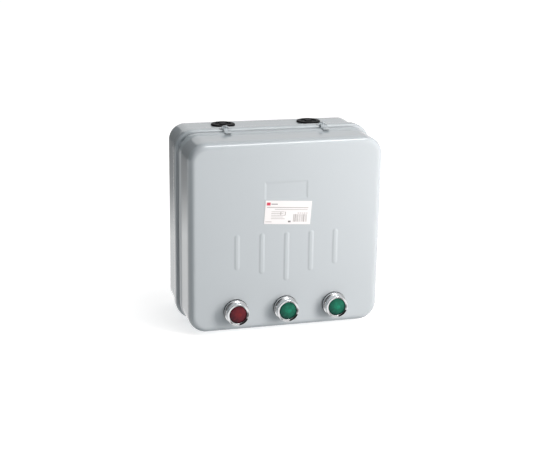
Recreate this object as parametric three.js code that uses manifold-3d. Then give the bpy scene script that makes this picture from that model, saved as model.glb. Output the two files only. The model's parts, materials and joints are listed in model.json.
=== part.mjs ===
// Reversing magnetic motor starter in a drawn sheet-steel enclosure.
// Millimetres. X runs right, Y runs back to the wall, Z runs up.
// The origin is the centre of the flat back face, where the enclosure meets the wall.
import * as THREE from 'three';
import Module from 'manifold-3d';
import { mergeVertices } from 'three/addons/utils/BufferGeometryUtils.js';

const wasm = await Module();
wasm.setup();

// ---------------------------------------------------------------- driving dimensions
const DEPTH = 129; // wall to the cover's face
const SHEET = 1.5; // steel thickness
const EDGE = 8.5; // rounding between a face and its side walls
const RIM_SLOPE = 6; // length of the step from the side walls out to the rim
const GAP = 0.3; // between pieces that touch in the real object

// Two trays that meet at a seam. Each has a rim wider than its walls, and the rim ends in a flange
// turned inward. The base's rim stands proud of the cover's.
const COVER = {
  width: 234, height: 229, corner: 22, face: -DEPTH, seam: -70.5, rimLength: 8.5, flange: 8,
};
const COVER_RIM = { width: 236.5, height: 232, corner: 22 };
const BASE = {
  width: 235, height: 230.5, corner: 20, face: 0, seam: -67.5, rimLength: 13, flange: 10.5,
};
const BASE_RIM = { width: 242, height: 236.5, corner: 21 };
const SEAL_INSET = 1.8; // from the cover's rim to the sponge seal

const ENTRY = { x: 54.3, y: -28, holeRadius: 12.5, flangeRadius: 14.8 };
const FIXING_HOLE = { x: 99, z: 96, radius: 3.2 };

const BUTTON = { pitch: 61, z: -89, holeRadius: 11.3, proud: 14, travel: 3.5 };
const RIB = { pitch: 30, top: 6, width: 7.5, height: 1.5, slope: 1.9 };
const RIB_LENGTHS = [44.5, 51, 61.5, 51, 44.5];
const RECESS = { x: -1.2, z: 56, width: 53.5, height: 23, depth: 0.9, slope: 3 };
const LABEL = { x: 1, z: 29, width: 56.5, height: 28.3, thickness: 0.3, tilt: 3.7 };

// A hook on the cover turns about the bar of a staple on the base.
const HINGE = { x: 60.3, y: -65.5, barRadius: 0.6, hookInner: 1.3, hookOuter: 1.9, hookWidth: 5.2 };
HINGE.z = BASE_RIM.height / 2 + GAP + HINGE.hookOuter;
const STAPLE = { legWidth: 1.2, footLength: 2.4, footFront: -1, footBack: 4, footHeight: 0.8 };
const LEAF = { width: 8, end: -84, thickness: 0.6 };

const SCREW = { x: 90, y: -75, radius: 2.5, headRadius: 4.6, headHeight: 3 };
const TONGUE_Z = -105.5;

const PLATE = { size: 176, thickness: 1.5, front: -8, bossRadius: 6, bossInset: 12 };
const DEVICE_BACK = PLATE.front - GAP;
const CONTACTOR = { x: 28, bottom: 8, width: 45, height: 77, split: -42, shoulder: -68, front: -83 };
const ARMATURE_TRAVEL = 5;
const RELAY = { x: -28, top: -6, width: 45, height: 56 };

const CORNER_STEPS = 5;
const EDGE_STEPS = 3;
const TOOL_LENGTH = 4;
const ROUND_SIDES = 18;

// ---------------------------------------------------------------- materials
const finish = (color, roughness, metalness) =>
  new THREE.MeshStandardMaterial({ color, roughness, metalness });
const GREY_ENAMEL = finish('#c3c9cc', 0.35, 0.1);
const BLACK_RUBBER = finish('#1a1b1c', 0.8, 0);
const CHROME = finish('#dfe1e3', 0.12, 1);
const ZINC_STEEL = finish('#a9adb0', 0.4, 0.9);
const LABEL_PAPER = finish('#f4f4f1', 0.6, 0);
const RED_LENS = finish('#7d1f24', 0.2, 0);
const GREEN_LENS = finish('#0f7a4c', 0.2, 0);
const LIGHT_PLASTIC = finish('#d9dad6', 0.5, 0);
const DARK_PLASTIC = finish('#3a3d40', 0.5, 0);
const LAMINATED_IRON = finish('#6e7072', 0.45, 0.9);
const COPPER_WINDING = finish('#a5572b', 0.4, 0.7);
const BRASS = finish('#b99a4e', 0.35, 0.9);
const BLUE_PLASTIC = finish('#2455a4', 0.4, 0);
const RED_PLASTIC = finish('#b3261e', 0.4, 0);

// ---------------------------------------------------------------- solids and meshes
function solidOf(geometry) {
  const bare = geometry.clone();
  bare.deleteAttribute('normal');
  bare.deleteAttribute('uv');
  const merged = mergeVertices(bare);
  return new wasm.Manifold(new wasm.Mesh({
    numProp: 3,
    vertProperties: Float32Array.from(merged.attributes.position.array),
    triVerts: Uint32Array.from(merged.index.array),
  }));
}

function geometryOf(solid) {
  const mesh = solid.getMesh();
  const geometry = new THREE.BufferGeometry();
  geometry.setAttribute('position', new THREE.BufferAttribute(mesh.vertProperties, 3));
  geometry.setIndex(new THREE.BufferAttribute(mesh.triVerts, 1));
  return geometry;
}

const joined = (solids) => solids.reduce((all, solid) => all.add(solid));
const cutBy = (solid, cutters) => solid.subtract(joined(cutters));

function addPiece(parent, name, solid, material) {
  const mesh = new THREE.Mesh(geometryOf(solid), material);
  mesh.name = name;
  parent.add(mesh);
  return mesh;
}

function groupAt(parent, x, y, z) {
  const group = new THREE.Group();
  group.position.set(x, y, z);
  parent.add(group);
  return group;
}

// A box between two corners, each given as [x, y, z].
function block(low, high) {
  const size = high.map((value, axis) => value - low[axis]);
  const geometry = new THREE.BoxGeometry(...size);
  geometry.translate(...low.map((value, axis) => value + size[axis] / 2));
  return solidOf(geometry);
}

// A block that is the same on both sides of X = 0.
const centredBlock = (halfWidth, y0, y1, z0, z1) => block([-halfWidth, y0, z0], [halfWidth, y1, z1]);

// A round bar along Y.
function barAlongY(radius, y0, y1, x = 0, z = 0, sides = ROUND_SIDES) {
  const geometry = new THREE.CylinderGeometry(radius, radius, y1 - y0, sides);
  geometry.translate(x, (y0 + y1) / 2, z);
  return solidOf(geometry);
}

// A round bar along Z.
function barAlongZ(radius, z0, z1, x, y, sides = ROUND_SIDES) {
  const geometry = new THREE.CylinderGeometry(radius, radius, z1 - z0, sides);
  geometry.rotateX(Math.PI / 2);
  geometry.translate(x, y, (z0 + z1) / 2);
  return solidOf(geometry);
}

// A round bar along X.
function barAlongX(radius, x0, x1, y, z, sides = 12) {
  const geometry = new THREE.CylinderGeometry(radius, radius, x1 - x0, sides);
  geometry.rotateZ(Math.PI / 2);
  geometry.translate((x0 + x1) / 2, y, z);
  return solidOf(geometry);
}

// A turned piece about Y. The profile is [radius, y] pairs that run anticlockwise, with radius
// to the right and y up. A profile that leaves the axis alone is closed into a ring.
function turned(profile, sides = ROUND_SIDES) {
  const outline = profile[0][0] > 0 ? [...profile, profile[0]] : profile;
  const points = outline.map(([radius, y]) => new THREE.Vector2(radius, y));
  return solidOf(new THREE.LatheGeometry(points, sides));
}

// ---------------------------------------------------------------- drawn sheet-steel shells
// A skin through rounded-rectangle sections stacked along Y. It starts and ends on the axis,
// so its first and last sections have no width.
function lofted(sections) {
  const profile = sections.map((section) => new THREE.Vector2(section.radius, section.y));
  const columnsPerCorner = CORNER_STEPS + 1;
  const columns = 4 * columnsPerCorner;
  const geometry = new THREE.LatheGeometry(profile, columns);
  const position = geometry.attributes.position;
  for (let column = 0; column <= columns; column += 1) {
    const corner = Math.floor(column / columnsPerCorner) % 4;
    const turn = (corner + (column % columnsPerCorner) / CORNER_STEPS) * (Math.PI / 2);
    const sideX = corner < 2 ? 1 : -1;
    const sideZ = corner === 0 || corner === 3 ? 1 : -1;
    sections.forEach(({ width, height, radius, y }, row) => {
      const x = sideX * (width / 2 - radius) + radius * Math.sin(turn);
      const z = sideZ * (height / 2 - radius) + radius * Math.cos(turn);
      position.setXYZ(column * sections.length + row, width ? x : 0, y, width ? z : 0);
    });
  }
  return solidOf(geometry);
}

// One section, moved inward from an outline by inset.
const sectionOf = (outline, inset, y) => ({
  width: outline.width - 2 * inset,
  height: outline.height - 2 * inset,
  radius: outline.corner - inset,
  y,
});
const axisPoint = (y) => ({ width: 0, height: 0, radius: 0, y });

// The quarter round from a face into the side walls.
function edgeRound(outline, faceY, direction, radius, inset) {
  return Array.from({ length: EDGE_STEPS + 1 }, (_, step) => {
    const turn = (step / EDGE_STEPS) * (Math.PI / 2);
    const along = faceY + direction * radius * (1 - Math.cos(turn));
    return sectionOf(outline, inset + radius * (1 - Math.sin(turn)), along);
  });
}

// A tray drawn from sheet: a flat face, side walls, a wider rim and a flange turned inward.
function drawnTray(tray, rim) {
  const { face, seam, rimLength, flange } = tray;
  const direction = Math.sign(seam - face);
  const innerFace = face + direction * SHEET;
  const rimStart = seam - direction * rimLength;
  const wallEnd = rimStart - direction * RIM_SLOPE;
  const flangeBack = seam - direction * SHEET;
  const sections = [
    axisPoint(face),
    ...edgeRound(tray, face, direction, EDGE, 0),
    sectionOf(tray, 0, wallEnd),
    sectionOf(rim, 0, rimStart),
    sectionOf(rim, 0, seam),
    sectionOf(rim, flange, seam),
    sectionOf(rim, flange, flangeBack),
    sectionOf(rim, SHEET, flangeBack),
    sectionOf(rim, SHEET, rimStart),
    sectionOf(tray, SHEET, wallEnd),
    ...edgeRound(tray, innerFace, direction, EDGE - SHEET, SHEET).reverse(),
    axisPoint(innerFace),
  ];
  return lofted(direction > 0 ? sections : sections.reverse());
}

// A press tool for a shape drawn in X and Z. Both of its ends are sloped: the back end's slope
// runs from y to y + height, and the front end's from y - TOOL_LENGTH to y - TOOL_LENGTH - height.
function pressTool(shape, height, slope, y) {
  const geometry = new THREE.ExtrudeGeometry(shape, {
    depth: TOOL_LENGTH,
    bevelThickness: height,
    bevelSize: slope,
    bevelOffset: -slope,
    bevelSegments: 1,
    curveSegments: 5,
  });
  geometry.rotateX(Math.PI / 2);
  geometry.translate(0, y, 0);
  return solidOf(geometry);
}

// The sheet bulges forward into a rib, and keeps its thickness.
function pressedOut(sheet, shape, height, slope, faceY) {
  const toolY = faceY + TOOL_LENGTH;
  return sheet
    .add(pressTool(shape, height, slope, toolY))
    .subtract(pressTool(shape, height, slope, toolY + SHEET));
}

// The sheet sinks into a shallow recess, and keeps its thickness.
function pressedIn(sheet, shape, height, slope, faceY) {
  return sheet
    .add(pressTool(shape, height, slope, faceY + SHEET))
    .subtract(pressTool(shape, height, slope, faceY));
}

function stadium(x, top, width, length) {
  const radius = width / 2;
  const shape = new THREE.Shape();
  shape.absarc(x, top - radius, radius, 0, Math.PI);
  shape.absarc(x, top - length + radius, radius, Math.PI, 2 * Math.PI);
  shape.closePath();
  return shape;
}

function rectangle(x, z, width, height) {
  const shape = new THREE.Shape();
  shape.moveTo(x - width / 2, z - height / 2);
  shape.lineTo(x + width / 2, z - height / 2);
  shape.lineTo(x + width / 2, z + height / 2);
  shape.lineTo(x - width / 2, z + height / 2);
  shape.closePath();
  return shape;
}

// A sheet-metal shape drawn in Y and Z, and as wide as its stretch of X.
function strip(points, x0, x1) {
  const shape = new THREE.Shape(points.map(([y, z]) => new THREE.Vector2(y, z)));
  const geometry = new THREE.ExtrudeGeometry(shape, { depth: x1 - x0, bevelEnabled: false });
  // the shape's X becomes Y, its Y becomes Z, and its depth runs along X
  geometry.applyMatrix4(new THREE.Matrix4().set(0, 0, 1, x0, 1, 0, 0, 0, 0, 1, 0, 0, 0, 0, 0, 1));
  return solidOf(geometry);
}

// ---------------------------------------------------------------- enclosure
const faceY = -DEPTH;
const sides = [['left', -1], ['right', 1]];

function baseShell() {
  const entries = [-1, 1].map((side) =>
    barAlongZ(ENTRY.holeRadius, -BASE.height, BASE.height, side * ENTRY.x, ENTRY.y));
  const fixings = [-1, 1].flatMap((sideX) => [-1, 1].map((sideZ) =>
    barAlongY(FIXING_HOLE.radius, -EDGE, EDGE, sideX * FIXING_HOLE.x, sideZ * FIXING_HOLE.z, 12)));
  return cutBy(drawnTray(BASE, BASE_RIM), [...entries, ...fixings]);
}

function coverShell() {
  let shell = drawnTray(COVER, COVER_RIM);
  const recess = rectangle(RECESS.x, RECESS.z, RECESS.width, RECESS.height);
  shell = pressedIn(shell, recess, RECESS.depth, RECESS.slope, faceY);
  RIB_LENGTHS.forEach((length, index) => {
    const x = (index - (RIB_LENGTHS.length - 1) / 2) * RIB.pitch;
    const rib = stadium(x, RIB.top, RIB.width, length);
    shell = pressedOut(shell, rib, RIB.height, RIB.slope, faceY);
  });
  const buttonHoles = [-1, 0, 1].map((place) =>
    barAlongY(BUTTON.holeRadius, faceY - EDGE, faceY + EDGE, place * BUTTON.pitch, BUTTON.z));
  const screwHoles = [-1, 1].map((side) =>
    barAlongZ(SCREW.radius + GAP, -COVER.height, 0, side * SCREW.x, SCREW.y, 12));
  return cutBy(shell, [...buttonHoles, ...screwHoles]);
}

// The sponge seal lies between the two flanges, a little inside the cover's rim.
function seamGasket() {
  const front = COVER.seam + GAP / 2;
  const back = BASE.seam - GAP / 2;
  const slab = (inset, y0, y1) => lofted([
    axisPoint(y0),
    sectionOf(COVER_RIM, inset, y0),
    sectionOf(COVER_RIM, inset, y1),
    axisPoint(y1),
  ]);
  return slab(SEAL_INSET, front, back).subtract(slab(COVER.flange, front - GAP, back + GAP));
}

// A rubber entry grommet with a stepped membrane to be cut to the cable. It is built about Z = 0,
// the outside of the wall, and its collar goes in through the hole.
function entryGrommet() {
  const collar = ENTRY.holeRadius - GAP;
  const profile = [
    [0, -0.4], [4.5, -0.4], [5, -2.2], [8.5, -2.2], [9, -4.5],
    [collar, -4.5], [collar, GAP], [ENTRY.flangeRadius, GAP], [ENTRY.flangeRadius, 1.2],
    [ENTRY.flangeRadius - 1, 1.9], [9.5, 1.9], [9, 1], [5, 1], [4.5, 2.4], [0, 2.4],
  ];
  return turned(profile);
}

// A flat plate behind the devices, on four hollow bosses.
function mountingPlate() {
  const half = PLATE.size / 2;
  const bossAt = half - PLATE.bossInset;
  const plate = centredBlock(half, PLATE.front, PLATE.front + PLATE.thickness, -half, half);
  const places = [-bossAt, bossAt].flatMap((x) => [-bossAt, bossAt].map((z) => [x, z]));
  const bosses = places.map(([x, z]) =>
    barAlongY(PLATE.bossRadius, PLATE.front + PLATE.thickness, -SHEET - GAP, x, z, 12));
  const holes = places.map(([x, z]) => barAlongY(2.2, PLATE.front - 1, 0, x, z, 8));
  return cutBy(joined([plate, ...bosses]), holes);
}

// A stud with a nut and a washer, for the protective conductor. It stands forward from Y = 0.
function earthStud() {
  const nut = barAlongY(5.5, -9, -5, 0, 0, 6);
  return joined([barAlongY(3, -18, 0, 0, 0, 12), barAlongY(6.5, -5, -3.5), nut]);
}

// The base's half of a lift-off hinge: a bar on two legs, with a foot beside each leg. Both halves
// are built about the hinge's axis.
function hingeStaple() {
  const inner = HINGE.hookWidth / 2 + GAP;
  const outer = inner + STAPLE.legWidth;
  const bottom = -HINGE.hookOuter;
  const bar = barAlongX(HINGE.barRadius, -outer, outer, 0, 0);
  const legs = [-outer, inner].map((x) => block(
    [x, -HINGE.barRadius, bottom], [x + STAPLE.legWidth, HINGE.barRadius, 0]));
  const feet = [-outer - STAPLE.footLength, inner].map((x) => block(
    [x, STAPLE.footFront, bottom],
    [x + STAPLE.footLength + STAPLE.legWidth, STAPLE.footBack, bottom + STAPLE.footHeight]));
  return joined([bar, ...legs, ...feet]);
}

// The cover's half: a leaf welded to the cover's rim. It steps up over the base's rim, passes
// under the staple's bar and curls back over it.
function hingeHook() {
  const half = HINGE.hookWidth / 2;
  const top = -HINGE.hookInner;
  const bottom = -HINGE.hookOuter;
  const drop = (BASE_RIM.height - COVER_RIM.height) / 2;
  const seatY = COVER.seam - HINGE.y;
  const rimY = BASE.seam - HINGE.y;
  const curl = barAlongX(HINGE.hookOuter, -half, half, 0, 0)
    .subtract(barAlongX(HINGE.hookInner, -half - 1, half + 1, 0, 0))
    .subtract(block([-half - 1, -3, top], [half + 1, -0.4, 3]));
  const tongue = strip([[0, bottom], [0, top], [rimY, top], [seatY, top - drop],
    [seatY, bottom - drop], [rimY, bottom]], -half, half);
  const leaf = block([-LEAF.width / 2, LEAF.end - HINGE.y, bottom - drop],
    [LEAF.width / 2, seatY, bottom - drop + LEAF.thickness]);
  return joined([curl, tongue, leaf]);
}

// A strip across the inside of the base's bottom wall, with a forked tongue for each cover screw.
function closingBracket() {
  const wall = -BASE.height / 2 + SHEET + GAP;
  const riserY = BASE.seam + SHEET + 3;
  const footEnd = riserY + 14;
  const foot = [[footEnd, wall], [footEnd, wall + SHEET], [riserY + SHEET, wall + SHEET],
    [riserY + SHEET, TONGUE_Z + SHEET], [riserY, TONGUE_Z + SHEET], [riserY, wall]];
  const tongues = [-SCREW.x, SCREW.x].map((x) => block(
    [x - 8, SCREW.y - 9, TONGUE_Z], [x + 8, riserY + SHEET, TONGUE_Z + SHEET]));
  const slotHalf = SCREW.radius + GAP;
  const slots = [-1, 1].flatMap((side) => [
    block([side * SCREW.x - slotHalf, SCREW.y - 10, TONGUE_Z - 1],
      [side * SCREW.x + slotHalf, SCREW.y, TONGUE_Z + SHEET + 1]),
    barAlongZ(slotHalf, TONGUE_Z - 1, TONGUE_Z + SHEET + 1, side * SCREW.x, SCREW.y, 16),
  ]);
  return cutBy(joined([strip(foot, -SCREW.x - 8, SCREW.x + 8), ...tongues]), slots);
}

// A captive screw under the cover's rim. Its collar draws the forked tongue down.
function coverScrew() {
  const headTop = -COVER_RIM.height / 2 - GAP;
  const collarBottom = TONGUE_Z + SHEET + GAP;
  const screw = joined([
    barAlongZ(SCREW.headRadius, headTop - SCREW.headHeight, headTop, 0, 0),
    barAlongZ(SCREW.radius, headTop - 1, collarBottom + 4, 0, 0, 12),
    barAlongZ(SCREW.headRadius, collarBottom, collarBottom + 3, 0, 0, 6),
  ]);
  const slot = block([-SCREW.headRadius, -0.5, headTop - SCREW.headHeight - 1],
    [SCREW.headRadius, 0.5, headTop - SCREW.headHeight + 1.2]);
  return screw.subtract(slot);
}

const ratingLabel = () =>
  centredBlock(LABEL.width / 2, -LABEL.thickness, 0, -LABEL.height / 2, LABEL.height / 2);

// ---------------------------------------------------------------- push buttons
// Each is built about its own axis, with Y = 0 on the cover's face.
const BARREL = { radius: 11, bore: 9.2, back: 15 };
const LENS_RADIUS = 10.9;

const buttonGasket = () => turned([[11.6, -1.1], [14.9, -1.1], [14.9, -GAP / 2], [11.6, -GAP / 2]]);

function buttonBezel() {
  const front = -BUTTON.proud;
  const lensBore = LENS_RADIUS + GAP;
  return turned([
    [BARREL.bore, front + 9], [lensBore, front + 9], [lensBore, front + 0.8], [12.2, front],
    [13.3, front], [14, front + 0.8], [14, front + 6.5], [13.2, front + 7], [13.2, front + 8],
    [14.7, front + 9], [14.7, -1.4], [BARREL.radius, -1.4], [BARREL.radius, BARREL.back],
    [BARREL.bore, BARREL.back],
  ], 24);
}

// A translucent cap on a stem that reaches back to the contact block.
function buttonLens() {
  const front = -BUTTON.proud + 0.7;
  const stem = BARREL.bore - GAP;
  return turned([
    [0, front - 0.9], [7, front - 0.5], [LENS_RADIUS, front + 0.4],
    [LENS_RADIUS, front + 4], [stem, front + 4], [stem, BARREL.back + 1], [0, BARREL.back + 1],
  ], 24);
}

// A hexagonal nut clamps the bezel from inside the cover.
function fixingNut() {
  const front = SHEET + GAP;
  return barAlongY(15.5, front, front + 4.5, 0, 0, 6)
    .subtract(barAlongY(BARREL.radius + GAP, 0, front + 6));
}

// The contact block clips on behind the nut. Screw terminals sit in wells in its top and bottom.
function contactBlock() {
  const front = SHEET + GAP + 4.5 + GAP;
  const back = 48;
  const body = centredBlock(14, front, back, -19.5, 19.5);
  const barrelRoom = barAlongY(BARREL.radius + GAP, front - 1, BARREL.back + BUTTON.travel + 3);
  const wells = [-1, 1].flatMap((side) => [-7, 7].map((x) => {
    const deep = side * 13;
    const edge = side * 20;
    return block([x - 4, 30, Math.min(deep, edge)], [x + 4, back + 1, Math.max(deep, edge)]);
  }));
  return cutBy(body, [barrelRoom, ...wells]);
}

// ---------------------------------------------------------------- contactors
// Each is built with X = 0 on its centre line, Y = 0 on its back and Z = 0 on its bottom.
const CORE = { half: 7, centre: CONTACTOR.height / 2, outer: 24, inner: 17, middle: 6 };
const POLES = [-16.2, -5.4, 5.4];
const WELLS = [...POLES, 16.2];
const WELL = { half: 4.3, depth: 10.5, floor: -57 };

function lowerHousing() {
  const { width, height, split } = CONTACTOR;
  const half = width / 2;
  const cavity = centredBlock(18, split - 1, -3, 10, height - 10);
  const feet = [[-1, 5], [height - 5, height + 1]].map(([z0, z1]) => centredBlock(3, -60, 1, z0, z1));
  const sideNotches = [-half - 1, half - 4].map((x) => block([x, split + 5, 30], [x + 5, -9, 47]));
  return cutBy(centredBlock(half, split, 0, 0, height), [cavity, ...feet, ...sideNotches]);
}

// Terminals at the top and bottom lie lower than the arc chamber between them.
function upperHousing() {
  const { width, height, split, shoulder, front } = CONTACTOR;
  const half = width / 2;
  const middle = CORE.centre;
  const body = joined([
    centredBlock(half, shoulder, split - GAP, 0, height),
    centredBlock(half, front, shoulder + 1, 15, height - 15),
  ]);
  const wells = WELLS.flatMap((x) => [[-1, WELL.depth], [height - WELL.depth, height + 1]].map(
    ([z0, z1]) => block([x - WELL.half, shoulder - 1, z0], [x + WELL.half, WELL.floor, z1])));
  const armatureRoom = centredBlock(19.5, -60, split + 1, middle - 26, middle + 26);
  const carrierRoom = centredBlock(18.4, -77, -59, middle - 14, middle + 14);
  const window = centredBlock(5.6, front - 1, -76, middle - 5.6, middle + 5.6);
  return cutBy(body, [...wells, armatureRoom, carrierRoom, window]);
}

// A laminated E with its legs pointing forward (direction -1) or back (direction 1).
function magnetE(backY, thickness, outerEnd, middleEnd) {
  const { half, centre, outer, inner, middle } = CORE;
  const bar = centredBlock(half, Math.min(backY, backY + thickness), Math.max(backY, backY + thickness),
    centre - outer, centre + outer);
  const leg = (end, z0, z1) =>
    centredBlock(half, Math.min(backY, end), Math.max(backY, end), centre + z0, centre + z1);
  return joined([bar, leg(outerEnd, -outer, -inner), leg(outerEnd, inner, outer),
    leg(middleEnd, -middle, middle)]);
}
const magnetCore = () => magnetE(-4, -8, -28, -27);
const armature = () => magnetE(-50, 7.5, -34, -35);

function coil() {
  const centre = CORE.centre;
  const flanges = [[-31, -29], [-15, -13]].map(([y0, y1]) =>
    centredBlock(16.5, y0, y1, centre - 16, centre + 16));
  const winding = centredBlock(15, -30, -14, centre - 14.5, centre + 14.5);
  const opening = centredBlock(CORE.half + GAP, -40, 0, centre - 6.6, centre + 6.6);
  return cutBy(joined([winding, ...flanges]), [opening]);
}

// A coil spring round the armature's middle leg, from the coil's front to the armature's bar.
class SpringPath extends THREE.Curve {
  constructor(radius, turns, y0, y1) {
    super();
    Object.assign(this, { radius, turns, y0, y1 });
  }

  getPoint(t, target = new THREE.Vector3()) {
    const angle = t * this.turns * 2 * Math.PI;
    const y = this.y0 + (this.y1 - this.y0) * t;
    return target.set(this.radius * Math.cos(angle), y, CORE.centre + this.radius * Math.sin(angle));
  }
}

function returnSpring() {
  const wire = 0.6;
  const section = new THREE.Shape();
  section.absarc(0, 0, wire, 0, 2 * Math.PI);
  const path = new SpringPath(12, 3, -31 - GAP - wire, -42.5 + GAP + wire);
  return solidOf(new THREE.ExtrudeGeometry(section, {
    steps: 33,
    curveSegments: 2,
    bevelEnabled: false,
    extrudePath: path,
  }));
}

// The moulded carrier holds the moving contacts in three windows. Its nose shows in the front.
function contactCarrier() {
  const centre = CORE.centre;
  const body = joined([
    centredBlock(17, -57, -50 - GAP, centre - 12, centre + 12),
    centredBlock(17, -73, -56, centre - 6, centre + 6),
    centredBlock(5, -84, -72, centre - 5, centre + 5),
  ]);
  const windows = [-11, 0, 11].map((x) => block([x - 4, -68, centre - 7], [x + 4, -60, centre + 7]));
  return cutBy(body, windows);
}

// ---------------------------------------------------------------- interlock, links and overload relay
function interlockHousing() {
  const body = centredBlock(4.7, -72, -20, 20, 57);
  return body.subtract(centredBlock(3.4, -73, -24, 24, 53));
}
const interlockShuttle = () => centredBlock(1.4, -64, -30, 28, 49);

// A moulded block of three links that joins the contactors' poles, with a tongue into each well.
function linkBlock(z0, z1, tongueZ0, tongueZ1) {
  const reach = CONTACTOR.x + 20;
  const y0 = CONTACTOR.shoulder + 1;
  const tongues = [-1, 1].flatMap((side) => POLES.map((pole) => {
    const x = side * CONTACTOR.x + pole;
    return block([x - 2, y0 + 2, tongueZ0], [x + 2, y0 + 3.5, tongueZ1]);
  }));
  return joined([centredBlock(reach, y0, y0 + 9, z0, z1), ...tongues]);
}

// The overload relay is built with Z = 0 on its top.
const DIAL = { x: -10, z: -15, radius: 6 };
const RESET = { x: 12, z: -14, radius: 4, travel: 2.5 };
const TRIP_TEST = { x: 12, z: -30, radius: 2.6, travel: 2 };
const RELAY_FRONT = -80;

function relayHousing() {
  const half = RELAY.width / 2;
  const body = joined([
    centredBlock(half, -64, -16, -RELAY.height, 0),
    centredBlock(half, RELAY_FRONT, -63, -42, -4),
  ]);
  const cavity = centredBlock(18.5, -52, -15, -48, -7);
  const pockets = [
    barAlongY(DIAL.radius + GAP, RELAY_FRONT - 1, RELAY_FRONT + 4, DIAL.x, DIAL.z),
    barAlongY(RESET.radius + GAP, RELAY_FRONT - 1, RELAY_FRONT + 14, RESET.x, RESET.z),
    barAlongY(TRIP_TEST.radius + GAP, RELAY_FRONT - 1, RELAY_FRONT + 12, TRIP_TEST.x, TRIP_TEST.z),
  ];
  const wells = [-14, 0, 14].map((x) =>
    block([x - 4.8, -65, -RELAY.height - 1], [x + 4.8, -54, -RELAY.height + 11]));
  return cutBy(body, [cavity, ...pockets, ...wells]);
}

function relayDial() {
  const knob = barAlongY(DIAL.radius, RELAY_FRONT - 1.5, RELAY_FRONT + 4 - GAP);
  return knob.subtract(block([-0.7, RELAY_FRONT - 2, -4.5], [0.7, RELAY_FRONT, 4.5]));
}

const relayButton = ({ radius, travel }, length) =>
  barAlongY(radius, RELAY_FRONT - travel - 1, RELAY_FRONT - travel - 1 + length, 0, 0, 16);

// A bimetal strip bends sideways when its pole carries too much current.
const bimetalStrip = () => block([-0.6, -42, -42], [0.6, -34, -7 - GAP]);

// The slider lies under the strips' free ends, with a lug beside each.
function tripSlider() {
  const bar = block([-16, -41, -46.5], [15.8, -35, -43]);
  const lugs = [-12, 0, 12].map((x) => block([x + 1.1, -41, -44], [x + 3.1, -35, -38]));
  return joined([bar, ...lugs]);
}

// ---------------------------------------------------------------- the whole starter
const starter = new THREE.Group();

addPiece(starter, 'base_shell', baseShell(), GREY_ENAMEL);
addPiece(starter, 'cover_shell', coverShell(), GREY_ENAMEL);
addPiece(starter, 'cover_gasket', seamGasket(), BLACK_RUBBER);
addPiece(starter, 'mounting_plate', mountingPlate(), ZINC_STEEL);
addPiece(starter, 'closing_bracket', closingBracket(), ZINC_STEEL);

for (const [sideName, side] of sides) {
  for (const [endName, end] of [['top', 1], ['bottom', -1]]) {
    const name = `entry_grommet_${endName}_${sideName}`;
    const grommet = addPiece(starter, name, entryGrommet(), BLACK_RUBBER);
    grommet.position.set(side * ENTRY.x, ENTRY.y, end * BASE.height / 2);
    grommet.rotation.x = end * Math.PI / 2;
  }
  const hinge = groupAt(starter, side * HINGE.x, HINGE.y, HINGE.z);
  addPiece(hinge, `hinge_staple_${sideName}`, hingeStaple(), GREY_ENAMEL);
  addPiece(hinge, `hinge_hook_${sideName}`, hingeHook(), GREY_ENAMEL);
  const screw = addPiece(starter, `cover_screw_${sideName}`, coverScrew(), ZINC_STEEL);
  screw.position.set(side * SCREW.x, SCREW.y, 0);
}

const label = addPiece(starter, 'rating_label', ratingLabel(), LABEL_PAPER);
label.position.set(LABEL.x, faceY - 0.05, LABEL.z);
label.rotation.y = THREE.MathUtils.degToRad(LABEL.tilt);

const earth = addPiece(starter, 'earth_stud', earthStud(), BRASS);
earth.position.set(70, DEVICE_BACK, -60);

const buttons = [['stop', -1, RED_LENS], ['forward', 0, GREEN_LENS], ['reverse', 1, GREEN_LENS]];
for (const [name, place, lensColour] of buttons) {
  const button = groupAt(starter, place * BUTTON.pitch, faceY, BUTTON.z);
  addPiece(button, `${name}_button_gasket`, buttonGasket(), BLACK_RUBBER);
  addPiece(button, `${name}_button_bezel`, buttonBezel(), CHROME);
  addPiece(button, `${name}_button_lens`, buttonLens(), lensColour);
  addPiece(button, `${name}_button_nut`, fixingNut(), DARK_PLASTIC);
  addPiece(button, `${name}_contact_block`, contactBlock(), LIGHT_PLASTIC);
}

for (const [name, side] of [['forward', -1], ['reverse', 1]]) {
  const contactor = groupAt(starter, side * CONTACTOR.x, DEVICE_BACK, CONTACTOR.bottom);
  addPiece(contactor, `${name}_lower_housing`, lowerHousing(), DARK_PLASTIC);
  addPiece(contactor, `${name}_upper_housing`, upperHousing(), LIGHT_PLASTIC);
  addPiece(contactor, `${name}_magnet_core`, magnetCore(), LAMINATED_IRON);
  addPiece(contactor, `${name}_coil`, coil(), COPPER_WINDING);
  addPiece(contactor, `${name}_return_spring`, returnSpring(), ZINC_STEEL);
  addPiece(contactor, `${name}_armature`, armature(), LAMINATED_IRON);
  addPiece(contactor, `${name}_contact_carrier`, contactCarrier(), DARK_PLASTIC);
}

const devices = groupAt(starter, 0, DEVICE_BACK, CONTACTOR.bottom);
const lineEnd = CONTACTOR.height;
addPiece(devices, 'interlock_housing', interlockHousing(), LIGHT_PLASTIC);
addPiece(devices, 'interlock_shuttle', interlockShuttle(), DARK_PLASTIC);
const lineLinks = linkBlock(lineEnd + 1, lineEnd + 7, lineEnd - 9, lineEnd + 2);
addPiece(devices, 'line_link_block', lineLinks, DARK_PLASTIC);
addPiece(devices, 'load_link_block', linkBlock(-9, -3, -4, 8), DARK_PLASTIC);

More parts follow.
